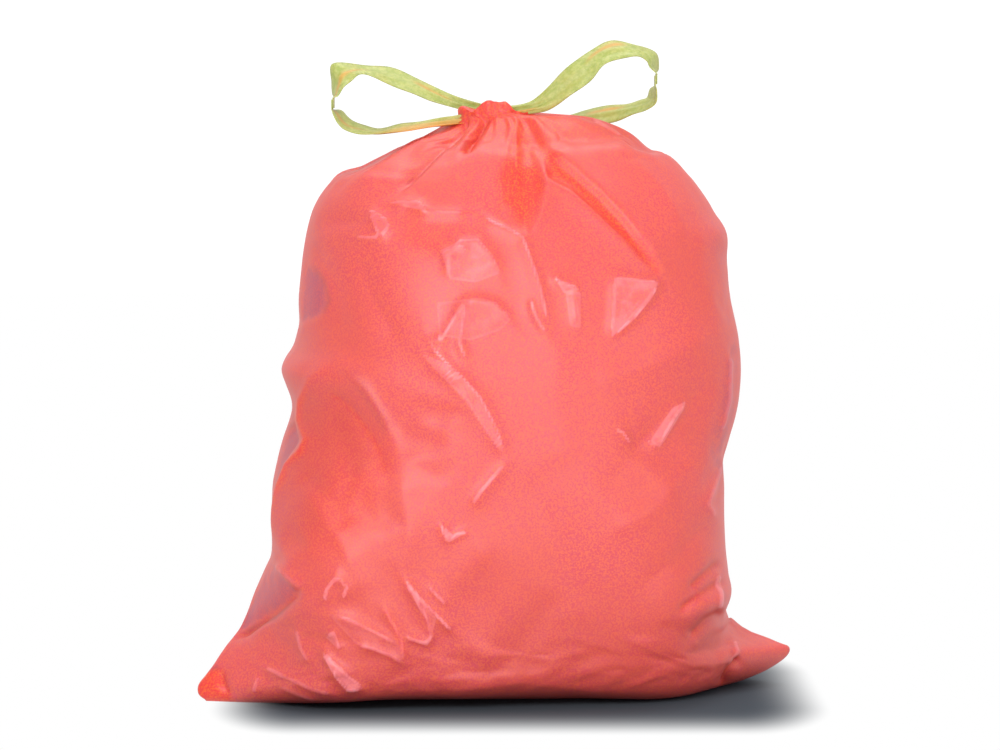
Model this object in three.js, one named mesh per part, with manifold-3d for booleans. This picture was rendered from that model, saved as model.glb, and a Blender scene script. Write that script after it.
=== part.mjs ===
// A filled drawtape garbage bag, tied shut and standing on its base.
// Millimetres, +Z up, front towards -Y. The origin is the centre of the bounding box on the floor.
// The film bag is one closed solid that stands for the film and its filling. Two flat tapes run through
// slots in its gathered hem and come out as a carrying loop on each side.
import * as THREE from "three";
import { mergeVertices } from "three/addons/utils/BufferGeometryUtils.js";
import Module from "manifold-3d";

const wasm = await Module();
wasm.setup();

// Bag body
const bodyHeight = 546; // floor to where the shoulders run into the hem
const leftReach = 213; // widest point left of the hem's axis
const rightReach = 233; // widest point right of it
const frontDepth = 156;
const backDepth = 150;
const footInset = 26; // how far the rolled lower edge draws in at the floor
const footRoll = 22; // height of that rolled edge
const footLift = 20; // how far its front rises off the floor at most
const footLiftHeight = 110; // the lift fades out up to here
const restingShare = 0.8; // size of the flat face that it stands on, as a share of the section there
const restingFront = 0.42; // and of that share in front, where the lifted edge takes the rest
const footYaw = 0.13; // the foot is turned about the vertical: y gains this share of x
const yawHeight = 260; // the turn fades out up to here
const sectionFullness = 0.9; // 1 is an ellipse, less is squarer
const footFullness = 3.2; // how square the section is at the floor, where 1 is an ellipse
const bellyFullness = 1.15;
const seamPinch = 0.08; // how far the side seams pull the section to a point

// Corners of the flat bottom seal, which stand out as ears
const leftEarReach = 69;
const leftEarHeight = 134;
const leftEarSeam = -40; // how far in front of the middle the seal's left corner lies
const rightEarReach = 65;
const rightEarHeight = 60;
const earPinch = 0.9;
const earSharpness = 14;

// Gathered hem
const hemHalfWidth = 36;
const hemHalfDepth = 29;
const hemRise = 15; // its highest tuft above the body
const pleatCount = 13;
const pleatDepth = 0.04; // as a share of the radius at the hem
const pleatLength = 60; // how far down the shoulders the pleats run

// Drawtape
const tapeWidth = 28;
const bunchedWidth = 12; // inside the gathered hem
const tapeThickness = 1;
const tapeGap = 0.4; // clear space round a tape in its slot
const weldLap = 8; // the two tapes overlap by this much at each loop's end
const weldGap = 0.3;
const hemRun = 15; // each tape's distance from the hem's middle, front and back
const leftLoopReach = 154; // the weld's distance from the axis
const leftLoopSpread = 16; // the arms' distance from the hem's plane
const leftLoopArch = 43.5; // the upper arm's height above the body
const leftWeldRise = 12; // the weld's height above the body
const rightLoopReach = 151.2;
const rightLoopSpread = 30;
const rightLoopArch = 63.5;
const rightWeldRise = 34.6;

// Mesh fineness
const sectionPoints = 72;
const bodyRings = 38;
const stepsPerStation = 4;

const smoothstep = THREE.MathUtils.smoothstep;
const clamp01 = (t) => THREE.MathUtils.clamp(t, 0, 1);
const signedPower = (value, power) => Math.sign(value) * Math.abs(value) ** power;

// A smooth curve through [position, value] pairs in rising order of position
function curveThrough(pairs) {
  const slope = (i) => {
    const before = pairs[Math.max(i - 1, 0)];
    const after = pairs[Math.min(i + 1, pairs.length - 1)];
    return (after[1] - before[1]) / (after[0] - before[0]);
  };
  return (position) => {
    let i = 0;
    while (i < pairs.length - 2 && position > pairs[i + 1][0]) i += 1;
    const [start, from] = pairs[i];
    const [end, to] = pairs[i + 1];
    const span = end - start;
    const t = clamp01((position - start) / span);
    const rise = slope(i) * span * t * (1 - t) ** 2 - slope(i + 1) * span * t ** 2 * (1 - t);
    return from + (to - from) * t * t * (3 - 2 * t) + rise;
  };
}

// Outlines as shares of the body's height and reach, from the floor up to the hem
const leftOutline = curveThrough([
  [0, 0.991], [0.11, 0.995], [0.174, 1], [0.245, 1], [0.35, 0.995], [0.388, 0.981], [0.438, 0.948],
  [0.476, 0.915], [0.507, 0.911], [0.542, 0.939], [0.56, 0.958], [0.579, 0.939], [0.599, 0.901],
  [0.632, 0.883], [0.683, 0.878], [0.771, 0.854], [0.824, 0.826], [0.859, 0.789], [0.894, 0.718],
  [0.912, 0.643], [0.929, 0.545], [0.947, 0.441], [0.982, 0.249], [1, 0.169],
]);
const rightOutline = curveThrough([
  [0, 0.936], [0.055, 0.948], [0.11, 0.961], [0.141, 0.948], [0.176, 0.97], [0.205, 0.953],
  [0.256, 0.94], [0.333, 0.931], [0.403, 0.931], [0.44, 0.948], [0.474, 0.974], [0.509, 0.991],
  [0.56, 1], [0.614, 0.991], [0.683, 0.961], [0.753, 0.944], [0.799, 0.94], [0.824, 0.901],
  [0.859, 0.854], [0.912, 0.751], [0.96, 0.592], [0.982, 0.489], [1, 0.343],
]);
const depthOutline = curveThrough([
  [0, 0.87], [0.119, 0.94], [0.3, 1], [0.48, 0.99], [0.619, 0.94], [0.74, 0.85], [0.841, 0.7],
  [0.91, 0.53], [0.96, 0.37], [1, 0.2],
]);
// The ears' reach beyond those outlines, as shares of their own height and reach
const leftEar = curveThrough([
  [0, 0.87], [0.037, 0.986], [0.112, 1], [0.179, 0.899], [0.246, 0.797], [0.313, 0.71], [0.381, 0.609],
  [0.448, 0.478], [0.582, 0.333], [0.724, 0.217], [0.858, 0.101], [1, 0],
]);
const rightEar = curveThrough([
  [0, 0.123], [0.1, 0.415], [0.233, 0.708], [0.4, 0.923], [0.533, 1], [0.633, 0.938], [0.7, 0.708],
  [0.767, 0.4], [0.867, 0.169], [1, 0],
]);
// The front edge's lift, from the left to the right, as shares of the left reach and of the whole lift
const footLiftAcross = curveThrough([
  [-1.174, 0], [-0.939, 0.15], [-0.704, 0.3], [-0.469, 0.5], [0, 0.7], [0.211, 0.8], [0.366, 1],
  [0.516, 0.75], [0.751, 0.55], [0.986, 0.45], [1.127, 0.4],
]);
// The rim's height round the mouth, as shares of a turn and of the hem's rise
const hemRim = curveThrough([
  [0, 0.467], [0.069, 0.533], [0.167, 0.6], [0.25, 0.667], [0.361, 0.6], [0.458, 0.467], [0.5, 0.333],
  [0.556, 0.6], [0.603, 0.533], [0.644, 0.333], [0.692, 0.867], [0.733, 1], [0.789, 0.933],
  [0.822, 0.533], [0.867, 0.333], [0.908, 0.267], [0.944, 0.6], [0.978, 0.6], [1, 0.467],
]);

// The rolled edge at the floor takes this much off an outline
const footDraw = (z) => footInset * (1 - Math.sqrt(1 - (1 - clamp01(z / footRoll)) ** 2));

const sides = {
  left: {
    body: (z) => leftReach * leftOutline(z / bodyHeight) - footDraw(z),
    ear: (z) => leftEarReach * leftEar(z / leftEarHeight) + footDraw(z),
    pinch: (z) => seamPinch + (earPinch - seamPinch) * (1 - smoothstep(z, leftEarHeight / 3, leftEarHeight)),
    seam: (z) => leftEarSeam * (1 - smoothstep(z, 0, leftEarHeight)),
  },
  right: {
    body: (z) => rightReach * rightOutline(z / bodyHeight) - footDraw(z),
    ear: (z) => rightEarReach * rightEar(z / rightEarHeight) + footDraw(z),
    pinch: (z) => seamPinch
      + (earPinch - seamPinch) * (1 - smoothstep(z, 0.63 * rightEarHeight, 1.5 * rightEarHeight)),
    seam: () => 0,
  },
};

// The section's depth as a share of its greatest: along is 0 at the side seams and 1 at front and back
function depthShare(along, z, side) {
  const fullness = THREE.MathUtils.lerp(footFullness, bellyFullness, smoothstep(z, 0, bodyHeight / 2));
  return 1 - (1 - Math.abs(along) ** (1 + side.pinch(z))) ** fullness;
}

const pleat = (angle, z) => 1 + pleatDepth * Math.cos(pleatCount * angle)
  * smoothstep(z, bodyHeight - pleatLength, bodyHeight);

// One level section of the body, anticlockwise from +X as seen from above. Low in front it isn't level,
// because the film's edge lifts off the floor there.
function bodySection(z) {
  return Array.from({ length: sectionPoints }, (_, i) => {
    const angle = 2 * Math.PI * i / sectionPoints;
    const across = Math.cos(angle);
    const along = Math.sin(angle);
    const side = across < 0 ? sides.left : sides.right;
    const outward = Math.sign(along);
    const full = (along < 0 ? frontDepth : backDepth) * depthOutline(z / bodyHeight) - footDraw(z);
    const seam = side.seam(z);
    const x = signedPower(across, sectionFullness) * side.body(z)
      + signedPower(across, earSharpness) * side.ear(z);
    const y = seam + (outward * full - seam) * depthShare(along, z, side)
      + footYaw * x * (1 - smoothstep(z, 0, yawHeight));
    const lift = footLift * footLiftAcross(x / leftReach)
      * smoothstep(-y, 0.35 * frontDepth, 0.9 * frontDepth) * (1 - smoothstep(z, 0, footLiftHeight));
    return new THREE.Vector3(x * pleat(angle, z), y * pleat(angle, z), z + lift);
  });
}

// The flat face that the bag stands on
const restingRing = () => bodySection(0).map(({ x, y }) =>
  new THREE.Vector3(restingShare * x, restingShare * y * (y < 0 ? restingFront : 1), 0));

// One ring of the gathered hem: size is a share of its radius, and rise is a share of the rim's height
function hemRing(size, rise) {
  return Array.from({ length: sectionPoints }, (_, i) => {
    const turn = i / sectionPoints;
    const angle = 2 * Math.PI * turn;
    const gathered = size * pleat(angle, bodyHeight);
    return new THREE.Vector3(
      hemHalfWidth * gathered * Math.cos(angle),
      hemHalfDepth * gathered * Math.sin(angle),
      bodyHeight + rise * hemRise * hemRim(turn),
    );
  });
}

// A closed solid through rings of the same number of points, with a fan over each end
function loft(rings) {
  const count = rings[0].length;
  const centre = (ring) => ring.reduce((sum, p) => sum.add(p), new THREE.Vector3()).divideScalar(count);
  const points = [...rings.flat(), centre(rings[0]), centre(rings.at(-1))];
  const bottom = points.length - 2;
  const top = points.length - 1;
  const faces = [];
  for (let i = 0; i < count; i += 1) {
    const next = (i + 1) % count;
    faces.push(bottom, next, i);
    for (let ring = 0; ring < rings.length - 1; ring += 1) {
      const low = ring * count;
      const high = low + count;
      faces.push(low + i, low + next, high + next, low + i, high + next, high + i);
    }
    faces.push(top, (rings.length - 1) * count + i, (rings.length - 1) * count + next);
  }
  const geometry = new THREE.BufferGeometry().setFromPoints(points);
  geometry.setIndex(faces);
  return geometry;
}

function solidFrom(geometry) {
  const bare = new THREE.BufferGeometry().setAttribute("position", geometry.getAttribute("position"));
  bare.setIndex(geometry.getIndex());
  const merged = mergeVertices(bare, 1e-4);
  return new wasm.Manifold(new wasm.Mesh({
    numProp: 3,
    vertProperties: merged.getAttribute("position").array,
    triVerts: new Uint32Array(merged.getIndex().array),
  }));
}

function geometryFrom(solid) {
  const mesh = solid.getMesh();
  const geometry = new THREE.BufferGeometry();
  geometry.setAttribute("position", new THREE.BufferAttribute(mesh.vertProperties, 3));
  geometry.setIndex(new THREE.BufferAttribute(mesh.triVerts, 1));
  return geometry;
}

// Each body ring stands closer to the next near the floor and the shoulders than at the belly
function filmBody() {
  const crowding = 0.1;
  const levels = Array.from({ length: bodyRings + 1 }, (_, i) => {
    const share = i / bodyRings;
    return bodyHeight * (share - crowding * Math.sin(2 * Math.PI * share));
  });
  return loft([
    restingRing(),
    ...levels.map(bodySection),
    hemRing(0.97, 0.2),
    hemRing(0.98, 0.6),
    hemRing(0.97, 0.92),
    hemRing(0.88, 1),
    hemRing(0.6, 0.9),
    hemRing(0.25, 0.4),
  ]);
}

// A station of a tape: its place (height is above the body), and its width as a direction and a size
const station = (x, y, rise, direction, width) => ({
  place: new THREE.Vector3(x, y, bodyHeight + rise),
  width: new THREE.Vector3(...direction).setLength(width),
});

// The tapes' ends lie side by side at each weld, half a thickness and half a gap off its middle.
// heading is 1 for a tape that runs down through the weld and -1 for one that runs up.
const lapOffset = (tapeThickness + weldGap) / 2;
const weldEnd = (x, rise, heading) => [0.5, -0.5].map((share) =>
  station(x, 0, rise + heading * share * weldLap, [0, 1, 0], tapeWidth));
const weldRunOut = (x, rise, heading) =>
  station(x, 0, rise + 0.7 * heading * weldLap, [0, 1, 0], tapeWidth);

// A tape's stations are shares of what it passes: how far that reaches, how far the tape spreads from the
// hem's plane there, and how high that rises above the body
const leftLoop = { reach: -leftLoopReach, spread: leftLoopSpread, arch: leftLoopArch };
const rightLoop = { reach: rightLoopReach, spread: rightLoopSpread, arch: rightLoopArch };
const hem = { reach: hemHalfWidth, spread: hemRun, arch: hemRise };
const past = (thing, x, y, rise, direction, width) =>
  station(x * thing.reach, y * thing.spread, rise * thing.arch, direction, width);

const frontTapeStations = [
  ...weldEnd(-leftLoopReach - lapOffset, leftWeldRise, 1),
  weldRunOut(-leftLoopReach - lapOffset, leftWeldRise, -1),
  past(leftLoop, 0.975, -0.1, 0.1, [6.5, 27, 3], tapeWidth),
  past(leftLoop, 0.94, -0.25, -0.075, [8, 25, 6], tapeWidth),
  past(leftLoop, 0.9, -0.45, -0.2, [7, 25, 8], tapeWidth),
  past(leftLoop, 0.825, -0.62, -0.3, [3, 26.5, 8], tapeWidth),
  past(leftLoop, 0.715, -0.8, -0.345, [0, 27, 5.5], tapeWidth),
  past(leftLoop, 0.58, -1, -0.267, [1, 27, 7], tapeWidth),
  past(leftLoop, 0.4, -0.94, -0.17, [0, 19, 7], 0.7 * tapeWidth),
  past(hem, -1, -0.8, -0.25, [0, 8, 8], bunchedWidth),
  past(hem, 0, -1, 0.2, [0, 3, 11], bunchedWidth),
  past(hem, 0.85, -0.8, 0.55, [-5, 6, 11], bunchedWidth),
  past(rightLoop, 0.3, -0.43, 0.214, [-8.6, 8, 13.4], 0.65 * tapeWidth),
  past(rightLoop, 0.43, -0.5, 0.476, [-15.2, 16, 17.2], tapeWidth),
  past(rightLoop, 0.535, -0.5, 0.676, [-17, 13, 18.2], tapeWidth),
  past(rightLoop, 0.63, -0.43, 0.883, [-11.4, 19, 15], tapeWidth),
  past(rightLoop, 0.745, -0.33, 1, [-7.6, 20, 17.7], tapeWidth),
  past(rightLoop, 0.87, -0.2, 0.99, [-2.9, 25, 12.9], tapeWidth),
  past(rightLoop, 0.972, -0.07, 0.888, [9, 24, 8], tapeWidth),
  past(rightLoop, 0.992, -0.03, 0.724, [9, 26.5, 0], tapeWidth),
  weldRunOut(rightLoopReach + lapOffset, rightWeldRise, 1),
  ...weldEnd(rightLoopReach + lapOffset, rightWeldRise, 1),
];
const backTapeStations = [
  ...weldEnd(-leftLoopReach + lapOffset, leftWeldRise, -1),
  weldRunOut(-leftLoopReach + lapOffset, leftWeldRise, 1),
  past(leftLoop, 0.987, 0.06, 0.467, [-6, 27, 2], tapeWidth),
  past(leftLoop, 0.972, 0.19, 0.687, [-12, 24, 5], tapeWidth),
  past(leftLoop, 0.947, 0.37, 0.947, [-18, 12, 17], tapeWidth),
  past(leftLoop, 0.825, 0.7, 0.995, [0, 26.5, 9], tapeWidth),
  past(leftLoop, 0.677, 0.94, 0.892, [5, 23, 14.5], tapeWidth),
  past(leftLoop, 0.523, 1, 0.687, [7, 22, 14], tapeWidth),
  past(leftLoop, 0.383, 1, 0.467, [6, 17, 13], 0.75 * tapeWidth),
  past(leftLoop, 0.26, 0.94, 0.315, [4.8, 8, 12], 0.5 * tapeWidth),
  past(hem, -0.4, 1, 0.5, [2, 5, 10], bunchedWidth),
  past(hem, 0.3, 1, 0.2, [0, 6, 9], bunchedWidth),
  past(hem, 1.1, 1.4, 0, [-2, 10, 6], bunchedWidth),
  past(rightLoop, 0.42, 1.25, -0.07, [-3, 20, 9], 0.75 * tapeWidth),
  past(rightLoop, 0.575, 1.13, -0.006, [-3, 22, 16], tapeWidth),
  past(rightLoop, 0.725, 0.93, 0.054, [-2.9, 22.6, 16.3], tapeWidth),
  past(rightLoop, 0.843, 0.57, 0.117, [-3.8, 25.5, 11.5], tapeWidth),
  past(rightLoop, 0.925, 0.33, 0.176, [-4, 25.5, 10], tapeWidth),
  past(rightLoop, 0.975, 0.17, 0.246, [-7, 26, 5], tapeWidth),
  past(rightLoop, 0.987, 0.07, 0.395, [-5, 27, 2], tapeWidth),
  weldRunOut(rightLoopReach - lapOffset, rightWeldRise, -1),
  ...weldEnd(rightLoopReach - lapOffset, rightWeldRise, -1),
];

// A flat tape swept through its stations. spare is added all round, for the slot that a tape runs in.
function sweptTape(stations, spare) {
  const route = new THREE.CatmullRomCurve3(stations.map((s) => s.place), false, "centripetal");
  const widths = new THREE.CatmullRomCurve3(stations.map((s) => s.width), false, "centripetal");
  const steps = (stations.length - 1) * stepsPerStation;
  const rings = Array.from({ length: steps + 1 }, (_, i) => {
    const share = i / steps;
    const middle = route.getPoint(share);
    const width = widths.getPoint(share);
    const ahead = route.getTangent(share);
    const face = new THREE.Vector3().crossVectors(ahead, width).setLength(tapeThickness / 2 + spare);
    const half = new THREE.Vector3().crossVectors(face, ahead).setLength(width.length() / 2 + spare);
    if (spare && i % steps === 0) middle.addScaledVector(ahead, (i ? 1 : -1) * spare);
    return [[1, 1], [-1, 1], [-1, -1], [1, -1]].map(([across, out]) =>
      middle.clone().addScaledVector(half, across).addScaledVector(face, out));
  });
  return loft(rings);
}

const filmFinish = new THREE.MeshStandardMaterial({ color: 0xf2604f, roughness: 0.38, metalness: 0 });
const tapeFinish = new THREE.MeshStandardMaterial({ color: 0xc9cc6c, roughness: 0.45, metalness: 0 });

function namedMesh(name, geometry, finish) {
  const shaded = geometry.toNonIndexed();
  shaded.computeVertexNormals();
  const mesh = new THREE.Mesh(shaded, finish);
  mesh.name = name;
  return mesh;
}

function filmBag() {
  const slots = [frontTapeStations, backTapeStations].map((s) => solidFrom(sweptTape(s, tapeGap)));
  const slotted = slots.reduce((bag, slot) => bag.subtract(slot), solidFrom(filmBody()));
  return geometryFrom(slotted);
}

const garbageBag = new THREE.Group();
garbageBag.add(
  namedMesh("film_bag", filmBag(), filmFinish),
  namedMesh("front_tape", sweptTape(frontTapeStations, 0), tapeFinish),
  namedMesh("back_tape", sweptTape(backTapeStations, 0), tapeFinish),
);
const extent = new THREE.Box3().setFromObject(garbageBag, true);
const middle = extent.getCenter(new THREE.Vector3());
garbageBag.position.set(-middle.x, -middle.y, -extent.min.z);

export default garbageBag;
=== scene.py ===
import math
import random

import bmesh
import bpy
import numpy as np
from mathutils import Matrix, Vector


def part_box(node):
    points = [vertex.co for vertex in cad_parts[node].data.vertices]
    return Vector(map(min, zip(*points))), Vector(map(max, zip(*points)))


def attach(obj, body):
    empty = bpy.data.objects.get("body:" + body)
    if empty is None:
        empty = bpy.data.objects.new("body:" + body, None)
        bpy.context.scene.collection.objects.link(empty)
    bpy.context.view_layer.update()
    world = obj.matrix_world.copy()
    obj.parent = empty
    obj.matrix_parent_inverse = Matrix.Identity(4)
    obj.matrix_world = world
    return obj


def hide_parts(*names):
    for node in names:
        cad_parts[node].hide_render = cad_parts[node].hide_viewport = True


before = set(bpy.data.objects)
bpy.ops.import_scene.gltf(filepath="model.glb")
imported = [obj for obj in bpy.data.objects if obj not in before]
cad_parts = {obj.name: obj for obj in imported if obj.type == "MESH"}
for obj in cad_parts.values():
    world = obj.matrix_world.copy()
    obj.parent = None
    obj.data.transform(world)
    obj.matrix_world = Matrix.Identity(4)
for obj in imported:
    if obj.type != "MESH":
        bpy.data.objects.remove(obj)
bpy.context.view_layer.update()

mm = 0.001


# Camera first: the creases on the bag's front are placed through it
view = dict(
    lens=132.6, sensor=36, imageWidth=1000, imageHeight=750,
    distance=3.5, elevation=4, aimX=2, aimZ=301,  # metres, degrees, millimetres
)


def makeCamera():
    tilt = math.radians(view["elevation"])
    data = bpy.data.cameras.new("photoCamera")
    data.lens = view["lens"]
    data.sensor_width = view["sensor"]
    camera = bpy.data.objects.new("photoCamera", data)
    aim = Vector((view["aimX"] * mm, 0, view["aimZ"] * mm))
    camera.location = aim + view["distance"] * Vector((0, -math.cos(tilt), math.sin(tilt)))
    camera.rotation_euler = (math.pi / 2 - tilt, 0, 0)
    bpy.context.scene.collection.objects.link(camera)
    bpy.context.scene.camera = camera
    return camera


camera = makeCamera()


def photoPixels(points):  # where points in metres fall in the photograph's frame
    tilt = math.radians(view["elevation"])
    away = points - np.array(camera.location)
    depth = away @ np.array([0, math.cos(tilt), -math.sin(tilt)])
    up = away @ np.array([0, math.sin(tilt), math.cos(tilt)])
    focal = view["lens"] / view["sensor"] * view["imageWidth"]
    return np.stack([view["imageWidth"] / 2 + focal * away[:, 0] / depth,
                     view["imageHeight"] / 2 - focal * up / depth], axis=1)


# Small curves used by every piece

def smoothstep(value, low, high):
    share = np.clip((np.asarray(value, float) - low) / (high - low), 0, 1)
    return share * share * (3 - 2 * share)


def curveThrough(pairs):  # a smooth curve through (position, value) pairs
    places = np.array([p for p, _ in pairs], float)
    values = np.array([v for _, v in pairs], float)
    slopes = np.gradient(values, places)
    slopes[1:-1] = (values[2:] - values[:-2]) / (places[2:] - places[:-2])

    def read(position):
        at = np.clip(np.asarray(position, float), places[0], places[-1])
        i = np.clip(np.searchsorted(places, at, side="right") - 1, 0, len(places) - 2)
        span = places[i + 1] - places[i]
        t = (at - places[i]) / span
        return (values[i] + (values[i + 1] - values[i]) * t * t * (3 - 2 * t)
                + slopes[i] * span * t * (1 - t) ** 2 - slopes[i + 1] * span * t * t * (1 - t))
    return read


def meshObject(name, points, faces):
    mesh = bpy.data.meshes.new(name)
    mesh.from_pydata([tuple(p) for p in points], [], faces)
    mesh.validate()
    mesh.update()
    piece = bpy.data.objects.new(name, mesh)
    bpy.context.scene.collection.objects.link(piece)
    return piece


def verticesOf(mesh):
    places = np.zeros(len(mesh.vertices) * 3)
    mesh.vertices.foreach_get("co", places)
    return places.reshape(-1, 3)


def normalsOf(mesh):
    normals = np.zeros(len(mesh.vertices) * 3)
    mesh.vertex_normals.foreach_get("vector", normals)
    return normals.reshape(-1, 3)


def moveVertices(mesh, places):
    mesh.vertices.foreach_set("co", np.asarray(places, float).ravel())
    mesh.update()


# The film bag, in millimetres from the hem's axis. Outlines run from the floor up.
film = dict(
    height=546,
    leftOutline=[(0, 211), (60, 212), (95, 213), (134, 213), (191, 212), (212, 209), (239, 202), (260, 195),
                 (277, 194), (296, 200), (306, 204), (316, 200), (327, 192), (345, 188), (373, 187),
                 (421, 182), (450, 176), (469, 168), (488, 151), (498, 130), (507, 107), (517, 85),
                 (536, 49), (546, 36)],
    rightOutline=[(0, 218), (30, 221), (60, 224), (77, 221), (96, 226), (112, 222), (140, 219),
                  (182, 217), (220, 217), (240, 221), (259, 227), (278, 231), (306, 233), (335, 231),
                  (373, 224), (411, 220), (436, 219), (450, 210), (469, 199), (498, 175), (524, 138),
                  (536, 114), (546, 80)],
    depthOutline=[(0, 0.87), (65, 0.94), (164, 1), (262, 0.99), (338, 0.94), (404, 0.85), (459, 0.7),
                  (497, 0.53), (524, 0.37), (546, 0.2)],
    frontDepth=156, backDepth=150,
    footInset=26, footRoll=22, footYaw=0.13, yawHeight=260,
    sectionFullness=0.9, footFullness=3.2, bellyFullness=1.15, seamPinch=0.08,
    leftEar=[(0, 60), (5, 68), (15, 69), (24, 62), (33, 55), (42, 49), (51, 42), (60, 33), (78, 23), (97, 15),
             (115, 7), (134, 0)],
    rightEar=[(0, 8), (6, 27), (14, 46), (24, 60), (32, 65), (38, 61), (42, 46), (46, 26), (52, 11), (60, 0)],
    leftEarSeam=-40, rightEarSeam=0, leftEarHeight=132, rightEarHeight=90,
    earPinch=0.9, earSharpness=14, pinchedUpTo=(44, 38),  # left and right
    squareUpTo=273, liftedDepths=(55, 140), liftedUpTo=110,
    footLift=[(-250, 0), (-200, 3), (-150, 6), (-100, 10), (0, 14), (45, 16), (78, 20), (110, 15), (160, 11),
              (210, 9), (240, 8)],
    hemHalfWidth=36, hemHalfDepth=29,
    hemTop=[(0, 7), (25, 8), (60, 9), (90, 10), (130, 9), (165, 7), (180, 5), (200, 9), (217, 8), (232, 5),
            (249, 13), (264, 15), (284, 14), (296, 8), (312, 5), (327, 4), (340, 9), (352, 9), (360, 7)],
    columns=192, underRings=7,
    levelSteps=[(0, 3), (60, 3), (90, 5.6), (470, 5.6), (546, 3.6)],  # height, spacing there
)
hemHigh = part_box("film_bag")[1]
hemRim = [v.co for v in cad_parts["film_bag"].data.vertices if v.co.z > hemHigh.z - 12 * mm]
hemAxis = [(min(p[i] for p in hemRim) + max(p[i] for p in hemRim)) / 2 for i in (0, 1)]
hemAxisMm = [side / mm for side in hemAxis]

leftOutline = curveThrough(film["leftOutline"])
rightOutline = curveThrough(film["rightOutline"])
depthOutline = curveThrough(film["depthOutline"])
leftEar = curveThrough(film["leftEar"])
rightEar = curveThrough(film["rightEar"])
footLift = curveThrough(film["footLift"])
hemTop = curveThrough(film["hemTop"])
levelStep = curveThrough(film["levelSteps"])


def filmSection(z, stepCount=720):  # a level section of the film, anticlockwise from its right seam
    angle = np.arange(stepCount) * 2 * math.pi / stepCount
    across, along = np.cos(angle), np.sin(angle)
    isLeft = across < 0
    draw = film["footInset"] * (1 - math.sqrt(1 - (1 - min(z / film["footRoll"], 1)) ** 2))
    pinched = film["earPinch"] - film["seamPinch"]
    leftPinched, rightPinched = film["pinchedUpTo"]
    leftPinch = film["seamPinch"] + pinched * (1 - smoothstep(z, leftPinched, film["leftEarHeight"]))
    rightPinch = film["seamPinch"] + pinched * (1 - smoothstep(z, rightPinched, film["rightEarHeight"]))
    reach = np.where(isLeft, leftOutline(z), rightOutline(z)) - draw
    tip = np.where(isLeft, leftEar(z), rightEar(z)) + draw
    x = (np.sign(across) * np.abs(across) ** film["sectionFullness"] * reach
         + np.sign(across) * np.abs(across) ** film["earSharpness"] * tip)
    pinch = np.where(isLeft, leftPinch, rightPinch)
    rounded = smoothstep(z, 0, film["squareUpTo"])
    fullness = film["footFullness"] + (film["bellyFullness"] - film["footFullness"]) * rounded
    share = 1 - (1 - np.abs(along) ** (1 + pinch)) ** fullness
    seam = np.where(isLeft, film["leftEarSeam"] * (1 - smoothstep(z, 0, film["leftEarHeight"])),
                    film["rightEarSeam"])
    depth = np.where(along < 0, -film["frontDepth"], film["backDepth"]) * depthOutline(z)
    depth = depth - np.sign(depth) * draw
    y = seam + (depth - seam) * share
    y = y + film["footYaw"] * x * (1 - smoothstep(z, 0, film["yawHeight"]))
    return np.stack([x, y, np.full(stepCount, float(z))], axis=1)


def evenRing(section, count):  # the same ring with its points evenly spaced on each side of the seams
    half = len(section) // 2
    ring = []
    for side in (section[:half + 1], np.vstack([section[half:], section[:1]])):
        steps = np.linalg.norm(np.diff(side, axis=0), axis=1)
        run = np.concatenate([[0], np.cumsum(steps)]) / steps.sum()
        wanted = np.arange(count // 2) / (count // 2)
        ring.append(np.stack([np.interp(wanted, run, side[:, i]) for i in range(3)], axis=1))
    return np.vstack(ring)


def hemRing(size, rise):  # rise is a share of the hem's height, which goes up and down around the mouth
    angle = np.arange(film["columns"]) * 2 * math.pi / film["columns"]
    x = film["hemHalfWidth"] * size * np.cos(angle)
    y = film["hemHalfDepth"] * size * np.sin(angle)
    return np.stack([x, y, film["height"] + rise * hemTop(np.degrees(angle))], axis=1)


def filmRings():
    count = film["columns"]
    floor = filmSection(0)
    rings = []
    for share in np.linspace(0, 1, film["underRings"] + 1)[:-1]:  # under the bag, out from the bottom seal
        flat = floor.copy()
        middle = np.interp(flat[:, 0], [floor[:, 0].min(), floor[:, 0].max()],
                           [floor[floor[:, 0].argmin(), 1], floor[floor[:, 0].argmax(), 1]])
        flat[:, 1] = middle + (floor[:, 1] - middle) * share
        rings.append(evenRing(flat, count))
    heights = [0]
    while heights[-1] < film["height"]:
        heights.append(heights[-1] + float(levelStep(heights[-1])))
    heights = np.array(heights) * film["height"] / heights[-1]
    rings += [evenRing(filmSection(z), count) for z in heights]
    rings += [hemRing(size, rise) for size, rise in [(0.97, 0.2), (0.97, 0.5), (0.98, 0.75), (0.98, 0.92),
                                                     (0.94, 1), (0.86, 0.98), (0.74, 0.8), (0.6, 0.5),
                                                     (0.44, 0.3), (0.28, 0.15), (0.14, 0.1)]]
    return rings


def filmMesh():
    rings = filmRings()
    count = film["columns"]
    half = count // 2
    seal = rings[0][:half + 1]
    points = [*seal, *np.vstack(rings[1:]), rings[-1].mean(axis=0)]
    first = half + 1
    faces = []
    for i in range(half):  # both sides of the bottom seal
        faces.append((i + 1, i, first + i, first + i + 1))
        back = (first + count - i) if i else first
        faces.append((i, i + 1, first + count - i - 1, back))
    for ring in range(len(rings) - 2):
        low = first + ring * count
        high = low + count
        for i in range(count):
            j = (i + 1) % count
            faces.append((low + i, low + j, high + j, high + i))
    last = first + (len(rings) - 2) * count
    top = len(points) - 1
    for i in range(count):
        faces.append((last + i, last + (i + 1) % count, top))
    points = np.array(points)
    front = smoothstep(-points[:, 1], *film["liftedDepths"])
    front *= 1 - smoothstep(points[:, 2], 0, film["liftedUpTo"])
    points[:, 2] += footLift(points[:, 0]) * front
    return points * mm + np.array([hemAxis[0], hemAxis[1], 0]), faces


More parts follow.
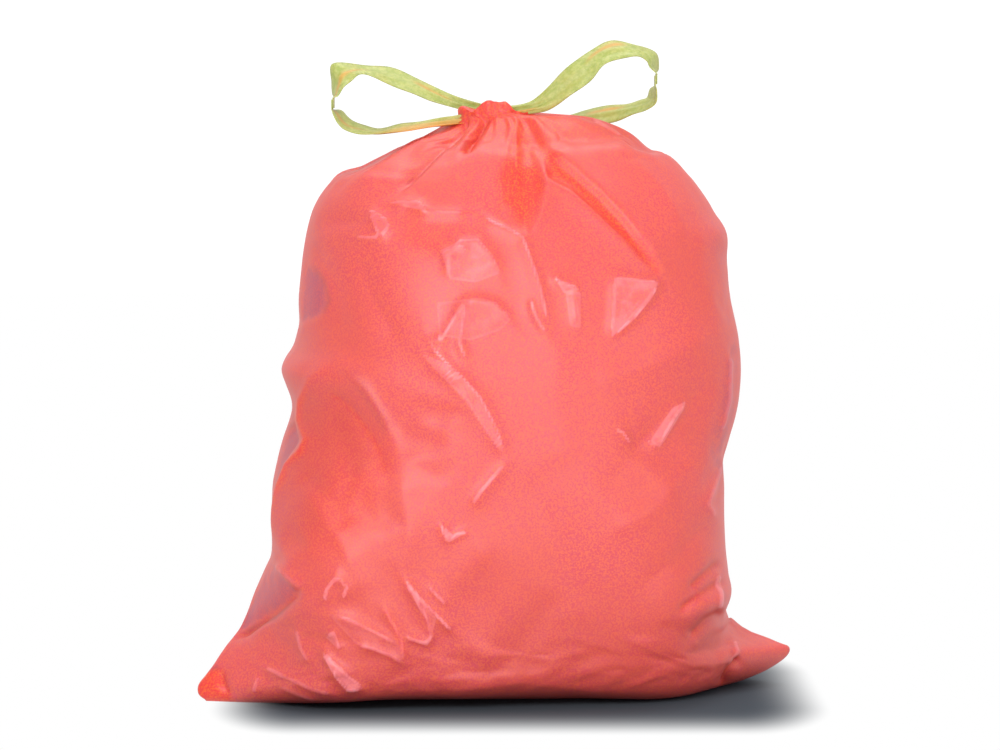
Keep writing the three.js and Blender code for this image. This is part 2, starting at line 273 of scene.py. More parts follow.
def joinCoincident(piece):  # the bottom seal's ends, where a row of points falls on one place
    grid = bmesh.new()
    grid.from_mesh(piece.data)
    bmesh.ops.remove_doubles(grid, verts=grid.verts, dist=0.01 * mm)
    grid.to_mesh(piece.data)
    grid.free()


bag = meshObject("filmSkin", *filmMesh())
joinCoincident(bag)
print("film grid", len(bag.data.vertices), "points")


# Distance to a path, on which side it is (above 0 is the right hand), and the share along it
def pathDistance(places, path):
    path = np.array(path, float)
    lengths = np.linalg.norm(np.diff(path, axis=0), axis=1)
    starts = np.concatenate([[0], np.cumsum(lengths)])
    nearest = np.full(len(places), 1e9)
    side = np.ones(len(places))
    share = np.zeros(len(places))
    for i, length in enumerate(lengths):
        along = (path[i + 1] - path[i]) / length
        away = places - path[i]
        t = np.clip(away @ along, 0, length)
        gap = np.linalg.norm(away - t[:, None] * along, axis=1)
        nearer = gap < nearest
        nearest = np.where(nearer, gap, nearest)
        side = np.where(nearer, np.sign(along[0] * away[:, 1] - along[1] * away[:, 0]), side)
        share = np.where(nearer, (starts[i] + t) / starts[-1], share)
    return nearest, side, share


def polygonDepth(places, corners):  # how far inside a polygon's edges each place is, below 0 outside
    corners = np.array(corners, float)
    inside = np.zeros(len(places), bool)
    nearest = np.full(len(places), 1e9)
    for a, b in zip(corners, np.roll(corners, -1, axis=0)):
        along = (b - a) / np.linalg.norm(b - a)
        away = places - a
        t = np.clip(away @ along, 0, np.linalg.norm(b - a))
        nearest = np.minimum(nearest, np.linalg.norm(away - t[:, None] * along, axis=1))
        crosses = (a[1] > places[:, 1]) != (b[1] > places[:, 1])
        rise = b[1] - a[1] if b[1] != a[1] else 1e-9
        inside ^= crosses & (places[:, 0] < a[0] + (b[0] - a[0]) * (places[:, 1] - a[1]) / rise)
    return np.where(inside, nearest, -nearest)


# Creases on the front: path in the photograph's pixels, height in millimetres, the two flanks' widths in
# pixels (the right hand's first, as one goes along the path), then how strong the painted highlight along it
# is
frontCreases = dict(
    neckFoldLeft=([(470, 112), (457, 130), (433, 155), (412, 177), (398, 192)], -5, 9, 3, 0.25),
    neckFoldInner=([(478, 113), (462, 132), (446, 150)], -3, 6, 3, 0.1),
    neckFoldMiddle=([(490, 112), (476, 134), (464, 152)], -4, 5, 4, 0.1),
    tongueEdge=([(506, 106), (510, 128), (507, 152), (500, 180), (503, 210), (520, 232)], 2, 4, 22, 0),
    gullyLine=([(517, 112), (516, 150), (516, 195)], 2, 4, 4, 0),
    bandUpper=([(533, 118), (545, 145), (572, 168), (600, 192), (625, 218), (650, 250), (662, 275)],
               3, 5, 22, 0),
    bandLower=([(541, 160), (546, 181), (570, 192), (593, 213), (616, 235), (641, 259)], 2.6, 12, 4, 0),
    gullyRight=([(541, 160), (545, 186), (540, 218), (528, 234)], 1.6, 3, 9, 0),
    rightShoulder=([(538, 120), (575, 128), (620, 150), (660, 190), (688, 240)], 2.5, 16, 14, 0),
    shoulderTape=([(590, 121), (606, 129), (622, 139)], 1, 3, 3, 0.5),
    leftShoulder=([(452, 126), (400, 152), (352, 186)], 2.5, 14, 12, 0),
    crossLine=([(468, 214), (440, 213), (426, 213), (408, 203), (388, 203)], 2, 5, 6, 0.45),
    crossTip=([(417, 200), (427, 213)], 1.4, 4, 4, 0.5),
    wTop=([(369, 211), (380, 216), (390, 223)], 2, 4, 5, 0.9),
    wRight=([(390, 223), (387, 230), (381, 238)], 1.6, 4, 4, 0.8),
    wInner=([(371, 214), (376, 226), (381, 238)], 1.4, 4, 4, 0.7),
    wFoot=([(381, 238), (368, 238), (356, 236)], 1.5, 4, 4, 0.7),
    longLine=([(476, 212), (494, 224), (510, 231), (522, 238), (528, 253), (534, 270), (540, 288), (545, 312),
               (549, 328)], 2.4, 10, 4, 0.75),
    longLineFoot=([(530, 298), (535, 316), (546, 334)], 1.6, 4, 4, 0.5),
    patchTop=([(439, 249), (450, 252), (461, 242), (478, 241), (490, 255), (500, 273)], 2.2, 12, 5, 0.5),
    patchTick=([(456, 244), (468, 252)], 1.2, 3, 3, 0.6),
    patchLeft=([(439, 249), (447, 258), (449, 280)], 1.2, 4, 6, 0.3),
    gableLeft=([(465, 300), (452, 322), (441, 341), (437, 330)], 2.2, 4, 8, 0.6),
    gableRight=([(465, 300), (463, 322), (460, 344), (467, 362)], 1.8, 5, 4, 0.55),
    gableRoof=([(465, 300), (480, 300), (495, 304), (511, 320)], 2, 12, 4, 0.3),
    kiteTop=([(614, 278), (634, 281), (657, 283)], 2.4, 7, 5, 0.7),
    kiteLeft=([(614, 278), (613, 305), (611, 337)], 2, 5, 5, 0.7),
    kiteRight=([(657, 283), (647, 300), (632, 318), (611, 337)], 2.6, 8, 5, 1),
    kiteSpine=([(641, 298), (628, 312), (619, 322)], 1, 3, 3, 0.6),
    flagTop=([(552, 275), (560, 283), (573, 287), (580, 293)], 2, 5, 5, 0.8),
    flagPole=([(573, 290), (577, 310), (578, 330)], 2, 9, 5, 0.3),
    belt=([(421, 353), (442, 374), (467, 401), (484, 427), (505, 458)], 1.6, 7, 12, 0.4),
    beltUpper=([(423, 329), (436, 352), (449, 365), (462, 377), (480, 398), (497, 430), (506, 460)],
               1.4, 5, 6, 0.65),
    beltHook=([(462, 377), (455, 379), (446, 372)], 1.2, 3, 3, 0.5),
    beltTail=([(506, 462), (492, 478), (480, 492), (470, 507)], 2.2, 5, 9, 0.65),
    birdWing=([(440, 522), (444, 533), (448, 543)], 2, 4, 4, 0.8),
    birdTail=([(448, 541), (456, 534), (469, 531)], 1.8, 4, 4, 0.8),
    slashRight=([(687, 402), (676, 414), (664, 433), (656, 447)], 3, 6, 5, 0.85),
    slashFoot=([(656, 447), (648, 441)], 1.6, 3, 3, 0.5),
    tick=([(613, 429), (622, 432), (631, 444)], 1.8, 4, 4, 0.7),
    elbowLine=([(321, 370), (310, 380), (302, 399), (301, 420), (308, 440), (302, 452), (288, 466),
                (280, 487), (276, 511), (273, 555)], 3, 5, 8, 0),
    thighLine=([(341, 360), (353, 376), (368, 391), (386, 420), (398, 447)], 2.6, 12, 5, 0),
    hipFold=([(323, 391), (350, 410), (372, 440), (388, 478)], -2.5, 12, 10, 0),
    kneeFold=([(300, 470), (330, 500), (350, 530)], -2, 12, 12, 0),
    ringLeft=([(339, 575), (328, 590), (326, 602)], 1.8, 4, 4, 0.6),
    ringRight=([(339, 575), (348, 587), (343, 599)], 1.8, 4, 4, 0.6),
    clawOuter=([(403, 576), (421, 599), (437, 615), (454, 633)], 2.6, 5, 6, 0.85),
    clawInner=([(403, 577), (419, 604), (429, 622), (431, 635), (426, 643), (410, 638), (400, 628)],
               2.2, 6, 4, 0.7),
    clawSmall=([(428, 585), (438, 596), (447, 605)], 1.8, 4, 4, 0.6),
    sailMast=([(382, 604), (391, 620), (400, 637), (404, 662)], 2.4, 5, 7, 0.3),
    sailBoom=([(329, 613), (352, 620), (376, 632), (400, 645)], 2.4, 8, 5, 0.4),
    sailFoot=([(356, 644), (374, 648), (391, 655), (404, 663)], 2, 6, 4, 0.5),
    hornLeft=([(324, 650), (330, 662), (338, 677), (348, 688), (364, 688)], 2.8, 5, 5, 0.9),
    hornRight=([(325, 650), (336, 664), (350, 677), (364, 687)], 1.6, 4, 4, 0.7),
    hornTop=([(327, 637), (334, 632), (341, 651)], 1.8, 4, 4, 0.6),
    softLeft=([(299, 627), (303, 648), (311, 663)], 2.2, 6, 6, 0.4),
    seamLine=([(262, 666), (287, 677), (312, 688), (335, 694)], 1.8, 5, 4, 0.35),
    seamTick=([(259, 676), (254, 693)], 1.4, 4, 4, 0.4),
    seamLower=([(280, 686), (300, 694), (318, 700)], 1.2, 4, 4, 0.3),
    earCrease=([(221, 668), (223, 684), (232, 705)], -3, 4, 6, 0),
    earRoot=([(304, 588), (290, 600), (274, 614), (256, 627), (237, 639)], -4, 6, 4, 0),
    purpleEdge=([(274, 565), (289, 576), (304, 588)], 2.5, 6, 4, 0.2),
    rightBumpTop=([(722, 560), (708, 574), (690, 590)], -3, 7, 7, 0),
    rightBumpMiddle=([(727, 579), (701, 596), (679, 614)], -3.5, 7, 7, 0),
    rightBumpFoot=([(727, 612), (708, 622), (690, 640)], -3, 7, 6, 0),
    rightStrip=([(720, 572), (722, 592), (720, 612)], 1.4, 3, 3, 0.5),
    earFoldRight=([(740, 655), (730, 668), (722, 690)], -4, 6, 5, 0),
    earGleam=([(733, 640), (737, 652), (728, 668)], 1.6, 3, 3, 0.5),
    wedge=([(722, 462), (713, 485), (706, 504), (717, 520)], 2.2, 5, 5, 0.3),
    edgeStrip=([(727, 350), (731, 362), (730, 400), (720, 436)], 2, 5, 4, 0.3),
)
# Broad soft folds: the same, with wide flanks and no painted highlight line
softFolds = dict(
    flankA=([(715, 330), (680, 352), (640, 368), (590, 383)], 3, 22, 16),
    flankB=([(722, 380), (690, 400), (655, 430), (620, 470)], -3, 20, 18),
    flankC=([(716, 440), (680, 475), (650, 510), (610, 535)], 3, 20, 20),
    flankD=([(712, 520), (675, 560), (640, 590)], -2.5, 18, 18),
    bellyA=([(560, 330), (556, 400), (570, 470)], 2, 30, 26),
    bellyB=([(520, 470), (560, 540), (570, 620)], -2, 26, 30),
    bellyC=([(470, 520), (500, 600), (480, 680)], 2.4, 26, 22),
    leftA=([(310, 240), (335, 290), (340, 340)], -2.5, 14, 20),
    leftB=([(355, 250), (372, 300), (400, 345)], -2.5, 18, 16),
    leftC=([(300, 480), (340, 540), (370, 600)], 3, 20, 18),
    leftD=([(400, 470), (410, 540), (395, 580)], 2.5, 20, 22),
    footA=([(240, 640), (300, 612), (350, 560)], 3, 16, 16),
    footB=([(430, 690), (520, 680), (620, 690)], 3, 12, 16),
    footC=([(740, 660), (690, 665), (630, 640)], 3, 14, 14),
)
# Flat facets between creases: corners in pixels, how far they stand out, and how strong the painted highlight
# on them is
facets = dict(
    kite=([(614, 278), (657, 283), (646, 301), (611, 337)], 1.6, 0.55),
    patch=([(442, 251), (461, 242), (478, 241), (498, 267), (500, 273), (476, 282), (450, 279)], 1, 0.3),
    gable=([(437, 303), (465, 300), (494, 304), (510, 320), (500, 330), (471, 340), (440, 336)], 1, 0.25),
    flag=([(554, 277), (569, 286), (580, 293), (564, 293)], 1, 0.5),
    flagBand=([(566, 294), (580, 294), (580, 328), (570, 326)], 0.8, 0.25),
    slash=([(674, 408), (687, 402), (682, 412), (659, 447), (651, 442)], 1, 0.5),
    beltBand=([(421, 353), (450, 366), (480, 398), (505, 456), (484, 427), (467, 401), (442, 376)], 1, 0.25),
    bird=([(441, 523), (452, 535), (468, 531), (448, 542)], 0.6, 0.6),
    horn=([(324, 651), (336, 664), (362, 687), (348, 688), (337, 677)], 1, 0.6),
    hornTip=([(327, 637), (334, 632), (341, 651)], 0.6, 0.4),
    sail=([(329, 613), (352, 620), (400, 645), (403, 661), (390, 655), (356, 643)], 1, 0.2),
    claw=([(404, 578), (421, 600), (436, 617), (431, 634), (424, 612)], 0.8, 0.3),
    cross=([(390, 203), (409, 203), (417, 201), (426, 212)], 0.8, 0.4),
    wPatch=([(371, 213), (389, 223), (381, 237)], 0.8, 0.3),
)

# Film that lies double or is drawn in near the hem, with painted shade on the left hip, and film with nothing
# behind it:
# corners in pixels, how far it stands out, how far its edge fades, and how deep or how clear its colour is
doubledFilmAndShade = dict(
    gully=([(505, 114), (531, 114), (542, 160), (546, 190), (527, 234), (500, 206), (496, 182), (509, 142)],
           -4.5, 12, 1),
    band=([(526, 120), (545, 142), (572, 166), (600, 190), (625, 216), (660, 268), (641, 259), (616, 235),
           (593, 213), (570, 192), (546, 181)], -2.5, 8, 1),
    innerFold=([(481, 112), (492, 112), (489, 126), (472, 152), (458, 152)], -3, 5, 0.8),
    outerFold=([(452, 126), (467, 119), (433, 155), (396, 188), (404, 160)], -1.5, 6, 0.5),
    earTip=([(196, 678), (207, 670), (221, 668), (225, 684), (234, 708), (198, 698)], 0, 3, 1),
    collar=([(454, 108), (530, 108), (535, 128), (450, 132)], 0, 12, 0.4),
    underBelt=([(402, 204), (470, 215), (452, 236), (430, 262), (404, 240)], -0.8, 14, 0.35),
    # painted shade: the left hip is given the deeper red, where shade falls
    hipPaintedShade=([(302, 372), (342, 366), (400, 450), (372, 560), (280, 560), (278, 490)], 0, 26, 0.3),
)
unbackedFilm = dict(
    leftShoulder=([(316, 192), (330, 186), (318, 260), (300, 262)], 0, 6, 0.4),
    leftOval=([(303, 262), (316, 270), (324, 284), (327, 302), (320, 316), (308, 322), (297, 326)],
              -2, 7, 0.9),
    elbow=([(297, 424), (284, 436), (274, 455), (266, 480), (270, 508), (277, 494), (286, 470), (291, 456),
            (301, 441)], -2.5, 4, 1),
    leftEarBack=([(268, 552), (278, 565), (298, 590), (290, 600), (268, 616), (246, 628), (236, 630),
                  (242, 606), (252, 582), (262, 560)], -2, 5, 0.75),
    leftEarRim=([(268, 552), (275, 562), (266, 580), (258, 600), (253, 616), (246, 628), (236, 630),
                 (240, 600), (256, 566)], 0, 3, 1),
    rightShoulder=([(688, 186), (740, 220), (740, 344), (722, 344), (712, 262)], -1, 10, 0.35),
    rightFlank=([(744, 330), (724, 346), (718, 400), (706, 452), (716, 500), (740, 470)], -1.5, 9, 0.6),
    rightFoot=([(722, 545), (740, 560), (736, 640), (716, 632)], 0, 7, 0.45),
    rightEarRoot=([(728, 640), (742, 645), (736, 664), (722, 668)], 0, 5, 0.4),
)
# Film pulled taut along a fold's edge, and painted shade inside folds and over the left flank and belly:
# path, half width in pixels, amount
tautLines = dict(
    elbow=([(322, 370), (309, 382), (302, 404), (301, 424), (307, 440), (303, 453), (287, 466), (285, 479),
            (277, 494), (274, 510), (272, 549), (276, 564)], 4.5, 1),
    rightContour=([(729, 262), (731, 290), (728, 320)], 2.5, 0.5),
    sail=([(382, 604), (391, 620), (401, 640), (404, 661)], 2.2, 0.6),
    bandFoot=([(632, 250), (648, 262), (660, 276)], 3, 0.7),
    hemLeft=([(460, 116), (440, 128), (418, 142)], 2.4, 0.8),
)
# painted shade: a dark purple-brown in the folds, on the ears and over the left flank and belly, where shade
# falls
paintedShadeLines = dict(
    earFold=([(294, 596), (276, 617), (250, 628), (237, 639)], 3, 0.8),
    earTip=([(205, 672), (216, 667), (223, 678), (225, 693), (231, 704)], 2.2, 0.6),
    elbowSpot=([(284, 430), (291, 426), (298, 423)], 3, 0.6),
    outerFold=([(452, 124), (432, 146), (412, 170), (398, 190)], 2.4, 0.45),
    innerFold=([(482, 116), (470, 134), (458, 150)], 2.4, 0.45),
    hipFold=([(345, 362), (362, 384), (380, 412), (394, 440)], 6, 0.3),
    flank=([(326, 372), (318, 410), (312, 450), (302, 500), (302, 560)], 30, 0.26),
    belly=([(330, 400), (352, 440), (366, 480)], 16, 0.3),
    ovalEdge=([(306, 262), (320, 278), (327, 300), (320, 318)], 2.6, 0.4),
    bumpTop=([(724, 558), (706, 573), (690, 588)], 3, 0.5),
    bumpMiddle=([(728, 577), (704, 593), (684, 608)], 3, 0.5),
    bumpFoot=([(728, 610), (708, 622), (692, 636)], 3, 0.4),
    rightEar=([(742, 654), (730, 666), (722, 686)], 3, 0.5),
)
around = dict(
    seed=11, strokes=190, lengths=(38, 150), heights=(-2.6, 2.8), flanks=(4, 15),
    pleatSeed=5, pleats=34, pleatHeights=(1.5, 4.5), pleatLengths=(45, 150), pleatFlanks=(4, 10),
    earSeed=7, earFolds=9, meanRadius=190, gatherDepth=2.1, gatherStart=452,
)


def crestOf(places, path, rightFlank, leftFlank):  # 1 on a crease, falling to 0 on its two flanks
    gap, side, share = pathDistance(places, path)
    flank = np.where(side > 0, rightFlank, leftFlank)
    ends = 0.3 + 0.7 * smoothstep(np.minimum(share, 1 - share), 0, 0.18)
    taper = 0.55 + 0.45 * smoothstep(np.minimum(share, 1 - share), 0, 0.12)
    return np.exp(-(gap / flank) ** 1.25) * ends, np.exp(-(gap / relief["lineWidth"]) ** 2) * taper


relief = dict(crease=1.7, soft=1.3, facet=0.6, facetFade=9, lineWidth=5, edgeWidth=6, deepWidth=0.6)


def keepBrighter(field, shine, near, newField, newShine):  # the stronger line wins, with its own shine
    stronger = newField > field[near]
    shine[near] = np.where(stronger, newShine, shine[near])
    field[near] = np.maximum(field[near], newField)


def frontRelief(points, normals):  # heights in millimetres, and the fields that the material reads
    spots = photoPixels(points)
    facing = smoothstep(-normals[:, 1], 0.02, 0.3)
    height, line, lineShine, facet, facetShine, deep, clear, paintedShade = np.zeros((8, len(points)))
    for path, lift, rightFlank, leftFlank, shine in frontCreases.values():
        near = (facing > 0) & (np.abs(spots - np.mean(path, axis=0)).max(axis=1) < 130)
        crest, along = crestOf(spots[near], path, rightFlank, leftFlank)
        height[near] += relief["crease"] * lift * crest
        if shine > 0:
            keepBrighter(line, lineShine, near, along, shine)
        # a groove gets the deeper red along its line: painted shade in the fold
        if lift < -2 and shine < 0.3:
            deep[near] = np.maximum(deep[near], relief["deepWidth"] * along ** 3)
    for path, lift, rightFlank, leftFlank in softFolds.values():
        height += relief["soft"] * lift * crestOf(spots, path, rightFlank, leftFlank)[0]
    for corners, lift, shine in facets.values():
        depth = polygonDepth(spots, corners)
        height += relief["facet"] * lift * smoothstep(depth, 0, relief["facetFade"])
        near = depth > -relief["edgeWidth"]
        share = 0.5 + 0.5 * np.clip(depth[near] / relief["edgeWidth"], -1, 1)
        keepBrighter(facet, facetShine, near, share, shine)
    for corners, lift, fade, amount in doubledFilmAndShade.values():
        inside = smoothstep(polygonDepth(spots, corners), -fade / 2, fade)
        height += lift * inside
        deep = np.maximum(deep, amount * inside)
    for corners, lift, fade, amount in unbackedFilm.values():
        inside = smoothstep(polygonDepth(spots, corners), -fade / 2, fade)
        height += lift * inside
        clear = np.maximum(clear, amount * inside)
    for lines, field in ((tautLines, deep), (paintedShadeLines, paintedShade)):
        for path, width, amount in lines.values():
            gap, side, share = pathDistance(spots, path)
            taper = smoothstep(np.minimum(share, 1 - share), 0, 0.2)
            np.maximum(field, amount * taper * np.exp(-(gap / width) ** 2), out=field)
    return height * facing, {"line": line * facing, "lineShine": lineShine, "facet": facet * facing,
                             "facetShine": facetShine, "deep": deep * facing, "clear": clear * facing,
                             "paintedShade": paintedShade * facing}


def aroundRelief(points, normals):  # folds of the sides and back, in millimetres round the bag and up it
    x, y, z = points[:, 0] / mm - hemAxisMm[0], points[:, 1] / mm - hemAxisMm[1], points[:, 2] / mm
    angle = np.arctan2(y * 1.4, x)
    turn = np.where(angle < -math.pi / 2, angle + 2 * math.pi, angle)  # joined up in the middle of the front
    places = np.stack([turn * around["meanRadius"], z], axis=1)
    behind = 1 - smoothstep(-normals[:, 1], -0.05, 0.35)
    height, line, lineShine = np.zeros((3, len(points)))
    draw = random.Random(around["seed"])
    for i in range(around["strokes"]):
        start = np.array([draw.uniform(-0.3, math.pi + 0.3) * around["meanRadius"], draw.uniform(25, 500)])
        heading = math.radians(draw.choice([-1, 1]) * draw.gauss(58, 24))
        length = draw.uniform(*around["lengths"]) * draw.uniform(0.5, 1)
        path = [start]
        for step in range(3):
            heading += draw.gauss(0, 0.22)
            path.append(path[-1] + length / 3 * np.array([math.cos(heading), math.sin(heading)]))
        lift = draw.uniform(*around["heights"]) * (0.4 + 0.6 * length / around["lengths"][1])
        flanks = [draw.uniform(*around["flanks"]) for side in range(2)]
        # shine is the strength of a painted highlight along a raised stroke
        shine = draw.choice([0, 0, 0, 0.05, 0.1, 0.2]) if lift > 0 else 0
        near = (behind > 0) & (np.abs(places - path[1]).max(axis=1) < length + 40)
        crest, along = crestOf(places[near], path, *flanks)
        height[near] += lift * crest
        if shine > 0:
            keepBrighter(line, lineShine, near, along, shine)
    draw = random.Random(around["pleatSeed"])
    for i in range(around["pleats"]):  # folds that run down from the gathered hem
        at = (i + draw.uniform(-0.35, 0.35)) / around["pleats"] * math.pi * around["meanRadius"]
        length = draw.uniform(*around["pleatLengths"])
        lean = draw.uniform(-0.25, 0.25) * length
        path = [(at, 560), (at + lean * 0.3, 540), (at + lean, 540 - length)]
        near = (behind > 0) & (z > 330)
        lift = draw.choice([-1, 1]) * draw.uniform(*around["pleatHeights"])
        flanks = [draw.uniform(*around["pleatFlanks"]) for side in range(2)]
        crest, along = crestOf(places[near], path, *flanks)
        height[near] += lift * crest
        # a raised pleat gets a painted highlight along its ridge
        if lift > 0:
            keepBrighter(line, lineShine, near, along, 0.2)
    draw = random.Random(around["earSeed"])
    for corner in (0, math.pi):  # folds that fan out from the bottom corners
        inward = 1 if corner == 0 else -1
        for i in range(around["earFolds"]):
            reach = draw.uniform(60, 170)
            slope = math.radians(8 + 70 * i / around["earFolds"] + draw.uniform(-4, 4))
            foot = corner * around["meanRadius"] + inward * draw.uniform(4, 22)
            path = [(foot, draw.uniform(15, 40)),
                    (foot + inward * reach * math.cos(slope) / 2, 25 + reach * math.sin(slope) / 2),
                    (foot + inward * reach * math.cos(slope), 20 + reach * math.sin(slope))]
            near = (behind > 0) & (z < 260)
            crest, along = crestOf(places[near], path, draw.uniform(5, 12), draw.uniform(5, 12))
            height[near] += draw.choice([-1, 1]) * draw.uniform(1.5, 3.5) * crest
    return height * behind, line * behind, lineShine, behind


def gatherRelief(points):  # the fine gathers that the tapes draw up under the hem, and its crumpled rim
    x, y, z = points[:, 0] / mm - hemAxisMm[0], points[:, 1] / mm - hemAxisMm[1], points[:, 2] / mm
    angle = np.arctan2(y, x)
    rise = smoothstep(z, around["gatherStart"], film["height"])
    onBack = 0.35 + 0.65 * smoothstep(y, -12, 8)
    fine = np.cos(17 * angle + 0.6) + 0.8 * np.cos(26 * angle + 2.1) + 0.6 * np.cos(39 * angle + 4.4)
    broad = np.cos(7 * angle + 1.3) + 0.7 * np.cos(11 * angle + 0.4)
    onRim = smoothstep(z, film["height"], film["height"] + 6)
    wave = fine * onBack * (1 - 0.6 * onRim) + broad * (0.3 + 0.5 * onRim)
    return around["gatherDepth"] * rise ** 2 * wave / 2, rise


def heldInPlace(piece, share):  # a vertex group that pins the hem and the floor
    group = piece.vertex_groups.new(name="held")
    for i, amount in enumerate(share):
        if amount > 0.001:
            group.add([i], float(amount), "REPLACE")
    return group.name


swelling = dict(
    pressure=1.2, growth=-0.05, mass=0.15, damping=2, tension=25, compression=8, shear=10, bending=0.6,
    frames=16, quality=6, evening=60,  # rounds of averaging that find the swelling of the whole
    cap=3.5 * mm, heldAbove=(515, 545), heldBelow=(0.5, 40), cornerReach=(214, 240), cornerTop=(60, 130),
    calmFoot=0.4, calmHeights=(60, 170), floorGap=0.2 * mm,
)


def evenedOut(piece, values, times):  # each point's value averaged with its neighbours'
    ends = np.zeros(len(piece.data.edges) * 2, int)
    piece.data.edges.foreach_get("vertices", ends)
    first, second = ends.reshape(-1, 2).T
    share = np.bincount(first, minlength=len(values)) + np.bincount(second, minlength=len(values))
    for turn in range(times):
        total = np.stack([np.bincount(first, values[second, i], len(values))
                          + np.bincount(second, values[first, i], len(values)) for i in range(3)], axis=1)
        values = 0.5 * values + 0.5 * total / share[:, None]
    return values


def swellFilm(piece):  # cloth: the film is a little too large for its filling and buckles under pressure
    before = verticesOf(piece.data)
    z = before[:, 2] / mm
    pinned = np.maximum(smoothstep(z, *swelling["heldAbove"]), 1 - smoothstep(z, *swelling["heldBelow"]))
    corners = smoothstep(np.abs(before[:, 0] / mm), *swelling["cornerReach"])
    corners *= 1 - smoothstep(z, *swelling["cornerTop"])
    modifier = piece.modifiers.new("swell", "CLOTH")
    cloth = modifier.settings
    cloth.quality = swelling["quality"]
    cloth.mass = swelling["mass"]
    cloth.air_damping = swelling["damping"]
    cloth.tension_stiffness = swelling["tension"]
    cloth.compression_stiffness = swelling["compression"]
    cloth.shear_stiffness = swelling["shear"]
    cloth.bending_stiffness = swelling["bending"]
    cloth.use_pressure = True
    cloth.uniform_pressure_force = swelling["pressure"]
    cloth.shrink_min = swelling["growth"]
    cloth.effector_weights.gravity = 0
    cloth.vertex_group_mass = heldInPlace(piece, np.maximum(pinned, corners))
    modifier.collision_settings.use_self_collision = False
    modifier.point_cache.frame_start = 1
    modifier.point_cache.frame_end = swelling["frames"]
    scene = bpy.context.scene
    for step in range(1, swelling["frames"] + 1):
        scene.frame_set(step)
    swollen = piece.evaluated_get(bpy.context.evaluated_depsgraph_get())
    move = verticesOf(swollen.data) - before
    piece.modifiers.remove(modifier)
    piece.vertex_groups.clear()
    scene.frame_set(1)
    print("cloth moved", round(float(np.linalg.norm(move, axis=1).mean() / mm), 2), "mm on average")
    move -= evenedOut(piece, move, swelling["evening"])  # the wrinkles alone, without the swelling
    calm = swelling["calmFoot"]
    move *= calm + (1 - calm) * smoothstep(z, *swelling["calmHeights"])[:, None]
    length = np.linalg.norm(move, axis=1)
    print("wrinkles", round(float(length.mean() / mm), 2), "mm, at most", round(float(length.max() / mm), 1))
    move *= (np.minimum(length, swelling["cap"]) / np.maximum(length, 1e-9))[:, None]
    move[:, 2] = np.maximum(move[:, 2], swelling["floorGap"] - before[:, 2])
    return move


def refine(piece):  # one subdivision, applied
    modifier = piece.modifiers.new("refine", "SUBSURF")
    modifier.levels = 1
    modifier.render_levels = 1
    fine = bpy.data.meshes.new_from_object(piece.evaluated_get(bpy.context.evaluated_depsgraph_get()))
    piece.modifiers.remove(modifier)
    coarse = piece.data
    piece.data = fine
    bpy.data.meshes.remove(coarse)


def paint(piece, name, values):
    layer = piece.data.attributes.new(name, "FLOAT", "POINT")
    layer.data.foreach_set("value", np.clip(values, 0, 1).astype(float))


move = swellFilm(bag)
# keep the outline that the photograph shows: what moves outwards at the sides stays small
spread = np.abs(normalsOf(bag.data)[:, 0])
moveVertices(bag.data, verticesOf(bag.data) + move * (1 - 0.7 * smoothstep(spread, 0.6, 0.95))[:, None])
print("film swollen")
refine(bag)
points, normals = verticesOf(bag.data), normalsOf(bag.data)
frontHeight, fields = frontRelief(points, normals)
sideHeight, sideLine, sideShine, behind = aroundRelief(points, normals)
gathers, nearHem = gatherRelief(points)
low = smoothstep(points[:, 2] / mm, 1, 14)  # the floor keeps the film flat
edge = 1 - 0.75 * smoothstep(np.abs(normals[:, 0]), 0.8, 0.97)  # and the outline keeps its place
height = (frontHeight + sideHeight * edge) * low * (1 - smoothstep(points[:, 2] / mm, 542, 550)) + gathers
points += normals * height[:, None] * mm
points[:, 2] = np.maximum(points[:, 2], 0)
moveVertices(bag.data, points)
# the painted highlights of the sides and back join those of the front
fields["lineShine"] = np.where(sideLine > fields["line"], sideShine, fields["lineShine"])
fields["line"] = np.maximum(fields["line"], sideLine)
fields["deep"] = np.maximum(fields["deep"], 0.75 * smoothstep(nearHem, 0.7, 1))
# a light purple on the sides and back, which face away from the front: partly film with nothing behind it,
# partly painted shade that darkens the outline's edges
fields["clear"] = np.maximum(fields["clear"], 0.3 * behind)
for name, values in fields.items():
    paint(bag, name, values)
for polygon in bag.data.polygons:
    polygon.use_smooth = True
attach(bag, "root")
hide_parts("film_bag")
print("film done,", len(bag.data.polygons) * 2, "triangles")


# Drawtapes: stations as shares of what a tape passes, as in the solid model
tape = dict(
    width=28, bunched=12, thickness=0.9, weldLap=8, weldGap=0.3,
    leftLoop=dict(reach=-154, spread=16, arch=43.5, weldRise=12),
    rightLoop=dict(reach=151.2, spread=30, arch=63.5, weldRise=34.6),
    hem=dict(reach=36, spread=15, arch=15),
    crosswise=13, perStation=10,
)


def station(x, y, rise, direction, width):
    direction = np.array(direction, float)
    return np.array([x, y, film["height"] + rise]), direction / np.linalg.norm(direction) * width


def past(name, x, y, rise, direction, share=1.0):
    thing = tape[name]
    return station(x * thing["reach"], y * thing["spread"], rise * thing["arch"], direction,
                   tape["width"] * share)


def weld(name, side, heading):  # side is which face of the other tape, heading is -1 for a tape that runs up
    loop = tape[name]
    x = loop["reach"] + side * (tape["thickness"] + tape["weldGap"]) / 2
    return [station(x, 0, loop["weldRise"] + heading * share * tape["weldLap"], (0, 1, 0), tape["width"])
            for share in (0.5, -0.5, -0.7)]


